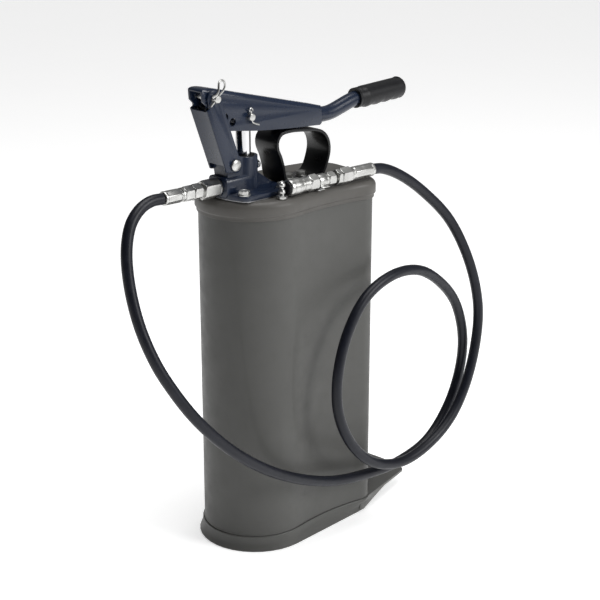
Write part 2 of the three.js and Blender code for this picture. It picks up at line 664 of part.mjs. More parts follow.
function buildLink() {
  const { shape, at, back, span } = linkShape();
  const inner = LINK_HALF - LINK_SHEET;
  const near = sidePlate(shape, -LINK_HALF, -inner);
  const far = sidePlate(shape, inner, LINK_HALF);
  const web = [
    at(LINK_PIN, 7, back), at(LINK_PIN, 7, back + LINK_SHEET),
    at(LINK_PIN, span - 11.5, back + LINK_SHEET), at(LINK_PIN, span - 11.5, back),
  ];
  const webPlate = sidePlate(new THREE.Shape(web), -inner - 1, inner + 1);
  const pins = [LINK_PIN, FULCRUM].map((p) => turned(rod(PIN_R + GAP, -30, 30, 18), "y", p.x, 0, p.y));
  add(head, "link_arm", cut(join(near, far, webPlate), ...pins), navyPaint);
  const pivot = lathe([
    [0, -21.4], [6.2, -21.4], [7.8, -20.6], [7.8, -LINK_HALF - GAP], [PIN_R, -LINK_HALF - GAP],
    [PIN_R, 22], [0, 22],
  ], 20);
  add(head, "link_pin", turned(pivot, "y", LINK_PIN.x, 0, LINK_PIN.y), zinc);
  add(head, "link_pin_clip", turned(ring(PIN_R + GAP, 9, LINK_HALF + GAP, LINK_HALF + 1.8, 18),
    "y", LINK_PIN.x, 0, LINK_PIN.y), darkSteel);
  const pinEnd = 26;
  const fulcrum = lathe([
    [0, -pinEnd], [4.2, -pinEnd], [PIN_R, -pinEnd + 0.8], [PIN_R, LINK_HALF + GAP],
    [7.6, LINK_HALF + GAP], [7.6, LINK_HALF + 3.2], [0, LINK_HALF + 3.8],
  ], 20);
  const crossHole = turned(rod(1.75, -9, 9, 10), "x").rotateY(CLIP_LEAN)
    .translate(FULCRUM.x, -CLIP_REACH, FULCRUM.y);
  add(head, "fulcrum_pin", cut(turned(fulcrum, "y", FULCRUM.x, 0, FULCRUM.y), crossHole), zinc);
  buildClip();
}

// R-clip: a straight leg through the pin, and a sprung leg that arches over the pin's end
function buildClip() {
  const legs = [
    [-13, 0, 0], [-6, 0, 0], [0, 0, 0], [8, 0, 0], [15, -0.4, 0], [20.4, 1.4, 0], [23.2, 6.2, -0.4],
    [21.6, 11.6, -1], [16.4, 13.8, -2.4], [11.2, 11.6, -4], [6.4, 8.6, -5.4], [0, 8, -6], [-5.5, 9.8, -5.4],
  ];
  const points = legs.map(([along, up, out]) => new THREE.Vector3(along, out, up));
  const wire = tubeAlong(new THREE.CatmullRomCurve3(points, false, "centripetal"), 1.35, 34, 7);
  add(head, "fulcrum_r_clip", wire.rotateY(CLIP_LEAN)
    .translate(FULCRUM.x, -CLIP_REACH, FULCRUM.y), zinc);
}

function tubeAlong(curve, radius, steps, sides) {
  const section = new THREE.Shape();
  for (let i = 0; i < sides; i += 1) {
    const a = (i * 2 * Math.PI) / sides;
    if (i === 0) section.moveTo(radius * Math.cos(a), radius * Math.sin(a));
    else section.lineTo(radius * Math.cos(a), radius * Math.sin(a));
  }
  return new THREE.ExtrudeGeometry(section, { steps, extrudePath: curve, bevelEnabled: false });
}

// side view of the lever channel: deep over the pins, tapering towards the handle tube
function leverShape() {
  const shape = new THREE.Shape();
  shape.moveTo(-72, 127);
  shape.lineTo(-68, 122.5);
  shape.lineTo(-60, 120.5);
  shape.quadraticCurveTo(-52, 92, -36, 90.5);
  shape.lineTo(12, 84);
  shape.lineTo(70, 79);
  shape.lineTo(126, 76);
  shape.lineTo(129, 78.5);
  shape.lineTo(128, 102);
  shape.lineTo(-60, 147.6);
  shape.quadraticCurveTo(-77, 151, -79, 146);
  shape.lineTo(-78, 133);
  return shape;
}

function buildLever() {
  const [h, s] = [LEVER_HALF, LEVER_SHEET];
  const round = 7.5;
  const block = sidePlate(leverShape(), -h, h, 6);
  const section = roundedPolygon([[-h, -200], [h, -200], [h, 0], [-h, 0]], round, 4);
  const slope = Math.atan2(45.6, 188);
  const envelope = extrude(section, -60, 300).rotateX(Math.PI / 2).rotateZ(Math.PI / 2)
    .rotateY(slope).translate(-60, 0, 150.1);
  const roof = new THREE.Shape();
  roof.moveTo(-90, 60);
  roof.lineTo(122, 60);
  roof.lineTo(122, 102 - s + 1.4);
  roof.lineTo(-60, 147.6 - s - 0.2);
  roof.lineTo(-90, 147.6 - s - 0.2);
  const hollow = sidePlate(roof, -h + s, h - s);
  const mouth = tubeAlong(handlePath(), TUBE_R + GAP, 30, 18);
  const slot = box(115, 140, -TUBE_R - GAP, TUBE_R + GAP, 60, TUBE_POINTS[0][1]);
  const holes = [FULCRUM, ROD_PIN, ...SPARE_HOLES.map((p) => new THREE.Vector2(...p))].map(
    (p) => turned(rod(PIN_R + GAP, -30, 30, 18), "y", p.x, 0, p.y),
  );
  let body = solid(block).intersect(solid(envelope)).subtract(solid(hollow));
  body = body.subtract(solid(mouth)).subtract(solid(slot));
  for (const hole of holes) body = body.subtract(solid(hole));
  add(head, "lever_channel", geometryOf(body), navyPaint);
}

const handlePath = () => new THREE.CatmullRomCurve3(
  TUBE_POINTS.map(([x, z]) => new THREE.Vector3(x, 0, z)), false, "centripetal",
);

function buildHandle() {
  const path = handlePath();
  add(head, "handle_tube", tubeAlong(path, TUBE_R, 30, 18), navyPaint);
  const grip = lathe(gripProfile(), 28);
  const keep = sidePlate(gripSide(), -GRIP_R - 4, GRIP_R + 4);
  const body = solid(turned(grip, "x")).intersect(solid(keep));
  const rise = TUBE_POINTS[9][1] - (TUBE_POINTS[9][0] - GRIP_START) * Math.tan(GRIP_TILT);
  const placed = solid(geometryOf(body).rotateY(-GRIP_TILT).translate(GRIP_START, 0, rise));
  const bore = solid(tubeAlong(path, TUBE_R + GAP, 30, 18));
  const end = turned(rod(TUBE_R + GAP, 0, 3, 18), "x").rotateY(-GRIP_TILT);
  const [tubeEndX, tubeEndZ] = TUBE_POINTS.at(-1);
  add(head, "hand_grip", geometryOf(
    placed.subtract(bore).subtract(solid(end.translate(tubeEndX - 1, 0, tubeEndZ))),
  ), rubber);
}

// half outline of the grip: a collar, a slightly swelling barrel and a domed end
function gripProfile() {
  const r = GRIP_R;
  const profile = [[0, 0], [r + 0.4, 0], [r + 0.8, 0.8], [r + 0.8, 3.4], [r, 4.2]];
  const dome = 12;
  const barrel = GRIP_LENGTH - dome;
  profile.push([r + 2.4, 14], [r + 2.6, barrel]);
  const steps = 5;
  for (let i = 1; i <= steps; i += 1) {
    const a = (i * Math.PI) / (2 * steps);
    profile.push([i === steps ? 0 : (r + 2.6) * Math.cos(a), barrel + dome * Math.sin(a)]);
  }
  return profile;
}

// side outline of the grip: flat along the top, with four finger bumps along the bottom
function gripSide() {
  const bumps = 4;
  const from = 8;
  const to = GRIP_LENGTH - 10;
  const steps = 40;
  const points = [[-1, GRIP_R + 1], [-1, -GRIP_R - 1], [from, -GRIP_R - 0.2]];
  for (let i = 1; i < steps; i += 1) {
    const t = i / steps;
    const wave = Math.abs(Math.sin(Math.PI * bumps * t));
    points.push([from + (to - from) * t, -GRIP_R - 0.2 - 2.3 * wave]);
  }
  points.push([to, -GRIP_R - 0.4], [GRIP_LENGTH + 1, -GRIP_R - 1], [GRIP_LENGTH + 1, GRIP_R + 1.4]);
  return polygon(points);
}

function buildLeverPins() {
  const near = -LEVER_HALF;
  const pin = lathe([
    [0, near - 6.2], [4.2, near - 6.2], [PIN_R, near - 5.4], [PIN_R, LEVER_HALF + GAP],
    [7.2, LEVER_HALF + GAP], [7.2, LEVER_HALF + 2.6], [0, LEVER_HALF + 3],
  ], 20);
  const cotterHole = turned(rod(1.5, -9, 9, 10), "x").rotateY(COTTER_LEAN)
    .translate(ROD_PIN.x, near - 3.4, ROD_PIN.y);
  add(head, "rod_pin", cut(turned(pin, "y", ROD_PIN.x, 0, ROD_PIN.y), cotterHole), zinc);
  const loop = [];
  const turns = 8;
  for (let i = 0; i <= turns; i += 1) {
    const a = -Math.PI * 0.72 + (i * Math.PI * 1.44) / turns;
    loop.push(new THREE.Vector3(-9.4 - 2.5 * Math.cos(a), 0, 2.5 * Math.sin(a)));
  }
  const leg = [[3, 0], [6, 0.6], [9, 4], [12.6, 11.6]].map(([x, z]) => new THREE.Vector3(x, 0, z));
  const cotter = join(
    turned(rod(1.15, -8.6, 5, 8), "x"),
    tubeAlong(new THREE.CatmullRomCurve3(loop), 1.1, 12, 7),
    tubeAlong(new THREE.CatmullRomCurve3(leg), 1.1, 10, 7),
  );
  add(head, "rod_pin_cotter", cotter.rotateY(COTTER_LEAN)
    .translate(ROD_PIN.x, near - 3.4, ROD_PIN.y), zinc);
}

// ---------------------------------------------------------------- outlet fittings on the left
function buildOutlet() {
  const z = OUTLET_Z;
  add(head, "outlet_ball", new THREE.SphereGeometry(5.6, 14, 10).translate(BALL_SEAT_X - 4.3, 0, z), steel);
  const coil = [];
  const turns = 4;
  const stepsPerTurn = 8;
  for (let i = 0; i <= turns * stepsPerTurn; i += 1) {
    const a = (i * 2 * Math.PI) / stepsPerTurn;
    coil.push(new THREE.Vector3(
      -31.8 - (i * 7.6) / (turns * stepsPerTurn), 5.6 * Math.cos(a), z + 5.6 * Math.sin(a),
    ));
  }
  add(head, "outlet_spring", tubeAlong(new THREE.CatmullRomCurve3(coil), 0.7, 40, 6), steel);
  const left = BLOCK_LEFT;
  const adapter = join(
    turned(rod(11.6, 0, 3.2, 20), "-x", left - GAP, 0, z),
    turned(hexBar(23, 2.8, 28), "-x", left - GAP, 0, z),
    turned(rod(8.9, -3, 1, 18), "-x", left - GAP, 0, z),
    turned(rod(8, 27, 31, 18), "-x", left - GAP, 0, z),
  );
  const bore = turned(rod(4, -10, 40, 14), "-x", left, 0, z);
  add(head, "outlet_adapter", cut(adapter, bore), zinc);
  const x1 = left - GAP - 31 - GAP;
  add(head, "swivel_nut", turned(hexNut(19, 4, 0, 12.6), "-x", x1, 0, z), zinc);
  add(head, "hose_nut_left", turned(hexNut(18, 4, 0, 14), "-x", x1 - 12.6 - GAP, 0, z), zinc);
  buildFerrule("hose_ferrule_left", head, LEFT_FERRULE_X[0], LEFT_FERRULE_X[1], 0, z);
}

// crimped sleeve: eight longitudinal flats, with a plain collar at the nut end
function buildFerrule(name, parent, x0, x1, y, z) {
  const length = Math.abs(x1 - x0);
  const direction = x1 < x0 ? "-x" : "x";
  const collar = 4;
  const sleeve = join(
    rod(9.3, 0, collar, 24),
    rod(8.9, collar - 0.5, length, 8),
  );
  const stem = rod(3.2, -1, length + 1, 12);
  add(parent, name, turned(cut(sleeve, stem), direction, x0, y, z), zinc);
}

// ---------------------------------------------------------------- parked coupler on the right
function buildCoupler() {
  const { y, z } = COUPLER;
  const lay = (geometry, x) => turned(geometry, "x", x, y, z);
  const noseX = -52.6;
  add(pump, "coupler_seal", lay(ring(4, 8.6, 0, 3.6, 24), noseX - 2.4), rubber);
  const nose = lathe([
    [9.1, 0], [10.2, 0], [10.9, 1], [10.9, 19], [10.4, 20], [5, 20], [5, 4], [9.1, 4],
  ], 24);
  add(pump, "coupler_nose", lay(nose, noseX), zinc);
  const bodyX = noseX + 20 + GAP;
  const sleeve = join(rod(9.6, 0, 15.6, 24), hexBar(20, 15.2, 29.3));
  add(pump, "coupler_body", lay(cut(sleeve, rod(4, -1, 40, 14)), bodyX), zinc);
  const stemX = bodyX + 29.3 + GAP;
  const stem = join(rod(COUPLER_STEM_R, 0, 19.8, 20), hexBar(17, 19.4, 31.6), rod(5.6, 31, 36, 16));
  add(pump, "coupler_stem", lay(cut(stem, rod(3, -1, 40, 12)), stemX), zinc);
  const nutX = stemX + 36 + GAP;
  add(pump, "lock_nut", lay(hexNut(19, 3, 0, 7.4), nutX), zinc);
  add(pump, "hose_nut_right", lay(hexNut(20, 3, 0, 18.4), nutX + 7.4 + GAP), zinc);
  buildFerrule("hose_ferrule_right", pump, nutX + 7.4 + 18.4 + 2 * GAP, HOSE_ROUTE.at(-1)[0] - 1.2, y, z);
}

// spring clip: a folded strip that is screwed to the lid, stands up behind the coupler's stem,
// wraps over it and ends in a flared lip at the front
function buildParkingClip() {
  const { y, z } = COUPLER;
  const sheet = 1.2;
  const low = LID_TOP + GAP;
  const foot = low + sheet / 2 - z;
  const wrap = COUPLER_STEM_R + GAP + sheet / 2;
  const line = [[-4, foot], [11.6, foot], [11.6, 0.6]];
  const steps = 12;
  for (let i = 0; i <= steps; i += 1) {
    const a = THREE.MathUtils.degToRad(18 + (190 * i) / steps);
    line.push([wrap * Math.cos(a), wrap * Math.sin(a)]);
  }
  line.push([-11.4, -6.6], [-13.2, -6.2]);
  const half = 6.5;
  const strip = sidePlate(ribbon(line, sheet), -half, half);
  const hole = rod(2.7, foot - 2, foot + 2, 14);
  const clip = cut(strip, hole);
  add(pump, "parking_clip", clip.rotateZ(Math.PI / 2).translate(CLIP_X, y, z), zinc);
  const top = low + sheet;
  const screw = join(
    rod(2.4, LID_TOP - SHANK_DEPTH, top + 1, 12),
    lathe([[0, top + GAP], [4.4, top + GAP], [3.6, top + 1.8], [0, top + 2.2]], 16),
  );
  add(pump, "parking_clip_screw", screw.translate(CLIP_X, y, 0), darkSteel);
}

// outline of a strip of even thickness along an open line
function ribbon(line, thickness) {
  const points = line.map(([a, b]) => new THREE.Vector2(a, b));
  const left = [];
  const right = [];
  points.forEach((point, i) => {
    const before = points[Math.max(0, i - 1)];
    const after = points[Math.min(points.length - 1, i + 1)];
    const into = point.clone().sub(before).normalize();
    const out = after.clone().sub(point).normalize();
    if (i === 0) into.copy(out);
    if (i === points.length - 1) out.copy(into);
    const normal = new THREE.Vector2(-into.y - out.y, into.x + out.x).normalize();
    const reach = thickness / 2 / Math.max(0.4, normal.dot(new THREE.Vector2(-into.y, into.x)));
    left.push(point.clone().addScaledVector(normal, reach));
    right.push(point.clone().addScaledVector(normal, -reach));
  });
  return new THREE.Shape([...left, ...right.reverse()]);
}

function buildNipple() {
  const base = LID_TOP + GAP;
  const turnedPart = lathe([
    [0, LID_TOP - SHANK_DEPTH], [4, LID_TOP - SHANK_DEPTH], [4, base + 2], [4.2, base + 4.2], [3, base + 5.4],
    [4.6, base + 7.4], [5, base + 9.6], [4.2, base + 12], [2.6, base + 13.6], [2.6, base + 14.4],
    [4.4, base + 16], [4.9, base + 18.4], [4.2, base + 20.6], [2.4, base + 22], [0, base + 22.4],
  ], 20);
  const nipple = join(turnedPart, hexBar(14, base, base + 3.6));
  add(pump, "parking_nipple", nipple.translate(NIPPLE.x, NIPPLE.y, 0), zinc);
}

// ---------------------------------------------------------------- carry handle
function buildCarryHandle() {
  const loop = new THREE.CatmullRomCurve3(
    STRAP_LOOP.map(([x, z]) => new THREE.Vector3(x, 0, z)), true, "centripetal",
  );
  const steps = 56;
  const half = STRAP_SHEET / 2;
  const corner = (side, y) => Array.from({ length: steps }, (_, i) => {
    const p = loop.getPointAt(i / steps);
    const t = loop.getTangentAt(i / steps);
    return [p.x - side * t.z * half, y, p.z + side * t.x * half];
  });
  const h = STRAP_HALF;
  const band = loft([corner(1, -h), corner(1, h), corner(-1, h), corner(-1, -h)], true);
  const holes = STRAP_BOLTS.map((x) => rod(4.4, LID_TOP - 2, LID_TOP + 10, 14).translate(x, 0, 0));
  add(pump, "carry_handle", cut(band, ...holes), blackPaint);
  STRAP_BOLTS.forEach((x, i) => {
    const seat = LID_TOP + GAP + STRAP_SHEET + 0.6;
    const bolt = join(
      rod(3.9, LID_TOP - SHANK_DEPTH, seat + 2, 14),
      ring(3, 8, seat, seat + 1.4, 20),
      hexBar(13, seat + 1.2, seat + 6.2),
    );
    add(pump, `carry_handle_bolt_${i + 1}`, bolt.translate(x, 0, 0), zinc);
  });
}

// ---------------------------------------------------------------- delivery hose
function buildHose() {
  const path = new THREE.CatmullRomCurve3(
    HOSE_ROUTE.map(([x, y, z]) => new THREE.Vector3(x, y, z)), false, "centripetal",
  );
  add(pump, "delivery_hose", tubeAlong(path, HOSE_R, 76, 10), hoseRubber);
}

buildTank();
buildBase();
buildLid();
buildCasting();
buildCylinder();
buildRod();
buildLink();
buildLever();
buildHandle();
buildLeverPins();
buildOutlet();
buildCoupler();
buildParkingClip();
buildNipple();
buildCarryHandle();
buildHose();

export default pump;
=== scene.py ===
"""Looks of the hand-operated gear oil pump: camera, studio, hose, detailed pieces and materials.

Everything is in metres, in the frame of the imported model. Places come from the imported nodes' boxes.
"""
import json
import math

import bmesh
import bpy
from mathutils import Matrix, Vector


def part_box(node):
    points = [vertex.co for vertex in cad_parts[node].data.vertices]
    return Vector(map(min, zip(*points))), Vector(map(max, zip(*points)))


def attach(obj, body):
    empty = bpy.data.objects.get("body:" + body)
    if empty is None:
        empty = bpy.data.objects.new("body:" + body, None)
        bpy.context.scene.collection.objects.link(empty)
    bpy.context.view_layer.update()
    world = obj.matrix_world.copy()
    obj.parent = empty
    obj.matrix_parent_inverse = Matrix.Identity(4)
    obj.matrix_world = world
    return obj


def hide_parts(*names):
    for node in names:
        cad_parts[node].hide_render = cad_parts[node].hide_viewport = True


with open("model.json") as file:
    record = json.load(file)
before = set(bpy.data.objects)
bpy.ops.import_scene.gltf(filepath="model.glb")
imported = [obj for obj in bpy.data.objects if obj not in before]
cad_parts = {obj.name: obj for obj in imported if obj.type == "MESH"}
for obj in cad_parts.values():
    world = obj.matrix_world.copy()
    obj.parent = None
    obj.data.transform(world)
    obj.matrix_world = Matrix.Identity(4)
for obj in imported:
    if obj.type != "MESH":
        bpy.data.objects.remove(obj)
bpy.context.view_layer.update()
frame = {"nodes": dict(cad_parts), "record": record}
RECORD = frame["record"]
MM = 0.001

BODY_OF = {n: body for body, names in RECORD["behaviour"]["bodies"].items() for n in names}
SLOT_OF = {s["node"]: s["material_slot"] for s in RECORD["subparts"]}


# ---------------------------------------------------------------- camera and studio
CAMERA_TARGET = Vector((0.1386, 0.1175, 0.2705))
CAMERA_DISTANCE = 2.2105
CAMERA_AZIMUTH = math.radians(-43)
CAMERA_ELEVATION = math.radians(18.5)
CAMERA_LENS = 86.69
LIT_PLACE = (0, 0, 0.35)              # what the lights point at
WORLD_LIGHT = 0.8                     # strength of the white surroundings as a light
WORLD_REFLECTION = 0.2                # and as seen in a reflection
DARK_SIDE = 0.1                       # how much of that is left towards -X
FLOOR_GLOW = 0.42
FLOOR_RADIUS = 14
FLOOR_DROP = 0.3 * MM


def aim(obj, target):
    obj.rotation_euler = (Vector(target) - obj.location).to_track_quat("-Z", "Y").to_euler()


def make_camera():
    back = Vector((
        math.sin(CAMERA_AZIMUTH) * math.cos(CAMERA_ELEVATION),
        -math.cos(CAMERA_AZIMUTH) * math.cos(CAMERA_ELEVATION),
        math.sin(CAMERA_ELEVATION),
    ))
    data = bpy.data.cameras.new("camera")
    data.lens = CAMERA_LENS
    data.sensor_width = 36
    camera = bpy.data.objects.new("camera", data)
    bpy.context.scene.collection.objects.link(camera)
    camera.location = CAMERA_TARGET + back * CAMERA_DISTANCE
    aim(camera, CAMERA_TARGET)
    bpy.context.scene.camera = camera


def area_light(name, place, size, power):
    data = bpy.data.lights.new(name, "AREA")
    data.shape = "RECTANGLE"
    data.size = size[0]
    data.size_y = size[1]
    data.energy = power
    light = bpy.data.objects.new(name, data)
    bpy.context.scene.collection.objects.link(light)
    light.location = place
    aim(light, LIT_PLACE)


def make_world():
    """A white sweep that is dimmer towards -X and in reflections, as with a dark wall on that side."""
    world = bpy.data.worlds.new("studio")
    bpy.context.scene.world = world
    world.use_nodes = True
    tree = world.node_tree
    background = tree.nodes["Background"]
    background.inputs["Color"].default_value = (1, 1, 1, 1)
    path = tree.nodes.new("ShaderNodeLightPath")
    split = tree.nodes.new("ShaderNodeSeparateXYZ")
    tree.links.new(tree.nodes.new("ShaderNodeTexCoord").outputs["Generated"], split.inputs[0])
    side = world_range(tree, split.outputs["X"], (-0.7, 0.5), (DARK_SIDE, 1))
    seen = world_range(tree, path.outputs["Is Glossy Ray"], (0, 1), (WORLD_LIGHT, WORLD_REFLECTION))
    dimmed = tree.nodes.new("ShaderNodeMath")
    dimmed.operation = "MULTIPLY"
    tree.links.new(side, dimmed.inputs[0])
    tree.links.new(seen, dimmed.inputs[1])
    strength = tree.nodes.new("ShaderNodeMix")
    strength.inputs["B"].default_value = 1.0
    tree.links.new(path.outputs["Is Camera Ray"], strength.inputs["Factor"])
    tree.links.new(dimmed.outputs[0], strength.inputs["A"])
    tree.links.new(strength.outputs["Result"], background.inputs["Strength"])


def world_range(tree, value, source, target):
    """Maps one range of values to another, both given as (low, high)."""
    made = tree.nodes.new("ShaderNodeMapRange")
    made.inputs["From Min"].default_value = source[0]
    made.inputs["From Max"].default_value = source[1]
    made.inputs["To Min"].default_value = target[0]
    made.inputs["To Max"].default_value = target[1]
    tree.links.new(value, made.inputs["Value"])
    return made.outputs["Result"]


def make_studio():
    make_world()
    area_light("key", (1.1, -2.4, 1.7), (1.0, 1.4), 44)
    area_light("top", (0.2, -0.1, 2.6), (1.6, 1.2), 30)
    bpy.context.scene.view_settings.view_transform = "Standard"


def make_floor():
    mesh = bpy.data.meshes.new("floor")
    bm = bmesh.new()
    bmesh.ops.create_circle(bm, cap_ends=True, radius=FLOOR_RADIUS, segments=96)
    bm.to_mesh(mesh)
    bm.free()
    floor = bpy.data.objects.new("floor", mesh)
    bpy.context.scene.collection.objects.link(floor)
    floor.location = (0, 0, -FLOOR_DROP)
    floor.data.materials.append(plain_floor())


# ---------------------------------------------------------------- material helpers
class Surface:
    """A Principled material whose colour, roughness and bump are built up from object coordinates."""

    def __init__(self, name, colour, roughness, metallic=0.0):
        self.material = bpy.data.materials.new(name)
        self.material.use_nodes = True
        self.tree = self.material.node_tree
        self.shader = self.tree.nodes["Principled BSDF"]
        self.shader.inputs["Base Color"].default_value = (*colour, 1)
        self.shader.inputs["Roughness"].default_value = roughness
        self.shader.inputs["Metallic"].default_value = metallic
        self.coordinates = self.node("ShaderNodeTexCoord").outputs["Object"]
        self.normal = None

    def node(self, kind, **settings):
        made = self.tree.nodes.new(kind)
        for key, value in settings.items():
            setattr(made, key, value)
        return made

    def link(self, out, into):
        self.tree.links.new(out, into)

    def noise(self, cell, detail=3, roughness=0.55):
        """Noise whose blotches are about cell metres across."""
        made = self.node("ShaderNodeTexNoise")
        made.inputs["Scale"].default_value = 1 / cell
        made.inputs["Detail"].default_value = detail
        made.inputs["Roughness"].default_value = roughness
        self.link(self.coordinates, made.inputs["Vector"])
        return made.outputs["Fac"]

    def spread(self, value, low, high, low_to, high_to):
        """Stretches the values between low and high over low_to to high_to."""
        made = self.node("ShaderNodeMapRange", clamp=True)
        for key, number in zip(("From Min", "From Max", "To Min", "To Max"), (low, high, low_to, high_to)):
            made.inputs[key].default_value = number
        self.link(value, made.inputs["Value"])
        return made.outputs["Result"]

    def times(self, a, b):
        made = self.node("ShaderNodeMath", operation="MULTIPLY")
        self.link(a, made.inputs[0])
        self.link(b, made.inputs[1])
        return made.outputs[0]

    def mix(self, factor, first, second):
        """Colour mix; first and second are sockets or plain colours."""
        made = self.node("ShaderNodeMix", data_type="RGBA")
        self.link(factor, made.inputs["Factor"])
        colours = [s for s in made.inputs if s.type == "RGBA"]
        for value, socket in zip((first, second), colours):
            if isinstance(value, tuple):
                socket.default_value = (*value, 1)
            else:
                self.link(value, socket)
        return [o for o in made.outputs if o.type == "RGBA"][0]

    def colour_from(self, socket):
        self.link(socket, self.shader.inputs["Base Color"])

    def roughness_from(self, socket):
        self.link(socket, self.shader.inputs["Roughness"])

    def bump(self, height, depth, strength=1.0):
        """Adds relief of the given depth in metres."""
        made = self.node("ShaderNodeBump")
        made.inputs["Distance"].default_value = depth
        made.inputs["Strength"].default_value = strength
        self.link(height, made.inputs["Height"])
        if self.normal is not None:
            self.link(self.normal, made.inputs["Normal"])
        self.normal = made.outputs["Normal"]
        self.link(self.normal, self.shader.inputs["Normal"])

    def edges(self):
        """1 on convex edges, 0 elsewhere."""
        point = self.node("ShaderNodeNewGeometry").outputs["Pointiness"]
        return self.spread(point, 0.58, 0.68, 0, 1)


def shade(colour, factor):
    return tuple(min(1.0, c * factor) for c in colour)


# ---------------------------------------------------------------- materials
def plain_floor():
    s = Surface("floor", (0.93, 0.93, 0.93), 0.6)
    tone = s.mix(s.noise(0.4), (0.92, 0.92, 0.92), (0.94, 0.94, 0.94))
    s.colour_from(tone)
    s.shader.inputs["Specular IOR Level"].default_value = 0.2
    s.shader.inputs["Emission Color"].default_value = (1, 1, 1, 1)
    s.shader.inputs["Emission Strength"].default_value = FLOOR_GLOW
    return s.material


def paint(name, colour, roughness, bare, wear, coat=0.08):
    """Sprayed paint: orange peel, faint blotches and dust, and edges rubbed to the bare colour."""
    s = Surface(name, colour, roughness)
    blotch = s.spread(s.noise(0.09, 4), 0.3, 0.7, 0, 1)
    tone = s.mix(blotch, shade(colour, 0.95), shade(colour, 1.05))
    dust = s.spread(s.noise(0.006, 6, 0.7), 0.55, 0.85, 0, 0.1)
    tone = s.mix(dust, tone, shade(colour, 1.5))
    rubbed = s.times(s.edges(), s.spread(s.noise(0.004, 5, 0.7), 0.54, 0.7, 0, wear))
    s.colour_from(s.mix(rubbed, tone, bare))
    s.roughness_from(s.spread(s.noise(0.02, 6, 0.65), 0.3, 0.75, roughness * 0.82, roughness * 1.3))
    s.shader.inputs["Specular IOR Level"].default_value = 0.32
    s.shader.inputs["Coat Weight"].default_value = coat
    s.shader.inputs["Coat Roughness"].default_value = 0.12
    s.bump(s.noise(0.003, 2), 0.02 * MM)
    s.bump(s.noise(0.05, 2), 0.15 * MM, 0.4)
    return s.material


def cast_paint(name, colour, bare):
    """Gloss paint over a sand casting: a pebbled skin under the paint."""
    s = Surface(name, colour, 0.32)
    blotch = s.spread(s.noise(0.02, 4), 0.3, 0.7, 0, 1)
    tone = s.mix(blotch, shade(colour, 0.8), shade(colour, 1.2))
    rubbed = s.times(s.edges(), s.spread(s.noise(0.003, 5, 0.7), 0.54, 0.68, 0, 0.5))
    s.colour_from(s.mix(rubbed, tone, bare))
    s.roughness_from(s.spread(s.noise(0.01, 5, 0.65), 0.3, 0.75, 0.24, 0.46))
    s.shader.inputs["Specular IOR Level"].default_value = 0.4
    s.shader.inputs["Coat Weight"].default_value = 0.2
    s.shader.inputs["Coat Roughness"].default_value = 0.15
    s.bump(s.noise(0.004, 3, 0.5), 0.18 * MM)
    return s.material


def metal(name, colour, roughness, stain=0.12):
    """Plated or machined steel: cloudy plating, fine tool marks and a little grime."""
    s = Surface(name, colour, roughness, 1.0)
    cloud = s.spread(s.noise(0.012, 3, 0.5), 0.35, 0.7, 0, 1)
    tone = s.mix(cloud, shade(colour, 1 - stain), shade(colour, 1 + stain * 0.4))
    grime = s.spread(s.noise(0.005, 5, 0.6), 0.62, 0.8, 0, 0.3)
    s.colour_from(s.mix(grime, tone, shade(colour, 0.45)))
    s.roughness_from(s.spread(s.noise(0.01, 3, 0.5), 0.3, 0.75, roughness * 0.8, roughness * 1.25))
    s.bump(s.noise(0.0008, 2, 0.5), 0.002 * MM)
    return s.material


def rubber(name, colour, roughness, grain=0.0006, depth=0.03 * MM):
    """Moulded rubber: a fine grain, uneven tone and a faint pale bloom."""
    s = Surface(name, colour, roughness)
    blotch = s.spread(s.noise(0.015, 5, 0.65), 0.3, 0.75, 0, 1)
    tone = s.mix(blotch, shade(colour, 0.82), shade(colour, 1.35))
    bloom = s.spread(s.noise(0.002, 6, 0.7), 0.6, 0.9, 0, 0.25)
    s.colour_from(s.mix(bloom, tone, shade(colour, 2.2)))
    s.roughness_from(s.spread(s.noise(0.008, 5, 0.7), 0.3, 0.75, roughness * 0.8, roughness * 1.25))
    s.bump(s.noise(grain, 3, 0.6), depth)
    s.shader.inputs["Specular IOR Level"].default_value = 0.3
    return s.material


GREY = (0.072, 0.072, 0.068)
LID_GREY = (0.08, 0.076, 0.07)
NAVY = (0.007, 0.0135, 0.032)
BLACK = (0.003, 0.0032, 0.0045)
BARE_STEEL = (0.42, 0.42, 0.43)

MATERIALS = {
    "grey_paint": paint("grey_paint", GREY, 0.47, shade(GREY, 2.4), 0.35),
    "lid_paint": paint("lid_paint", LID_GREY, 0.5, shade(LID_GREY, 2.4), 0.3),
    "navy_paint": paint("navy_paint", NAVY, 0.28, BARE_STEEL, 0.3, coat=0.15),
    "navy_casting": cast_paint("navy_casting", NAVY, BARE_STEEL),
    "black_paint": paint("black_paint", BLACK, 0.3, BARE_STEEL, 0.25, coat=0.12),
    "zinc": metal("zinc", (0.56, 0.56, 0.545), 0.34),
    "polished_steel": metal("polished_steel", (0.62, 0.62, 0.63), 0.12, stain=0.05),
    "plain_steel": metal("plain_steel", (0.36, 0.365, 0.375), 0.38, stain=0.25),
    "brass": metal("brass", (0.62, 0.44, 0.19), 0.25),
    "rubber": rubber("rubber", (0.004, 0.0042, 0.0055), 0.45),
    "hose_rubber": rubber("hose_rubber", (0.005, 0.006, 0.011), 0.4, grain=0.001, depth=0.04 * MM),
}
NODE_MATERIAL = {"pump_casting": "navy_casting"}


# ---------------------------------------------------------------- mesh helpers
def material_of(node):
    return MATERIALS[NODE_MATERIAL.get(node, SLOT_OF[node])]


def finish_piece(obj, node):
    """Puts a detailed piece in the place of its CAD node, riding on its body."""
    obj.data.materials.clear()
    obj.data.materials.append(material_of(node))
    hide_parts(node)
    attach(obj, BODY_OF[node])
    return obj


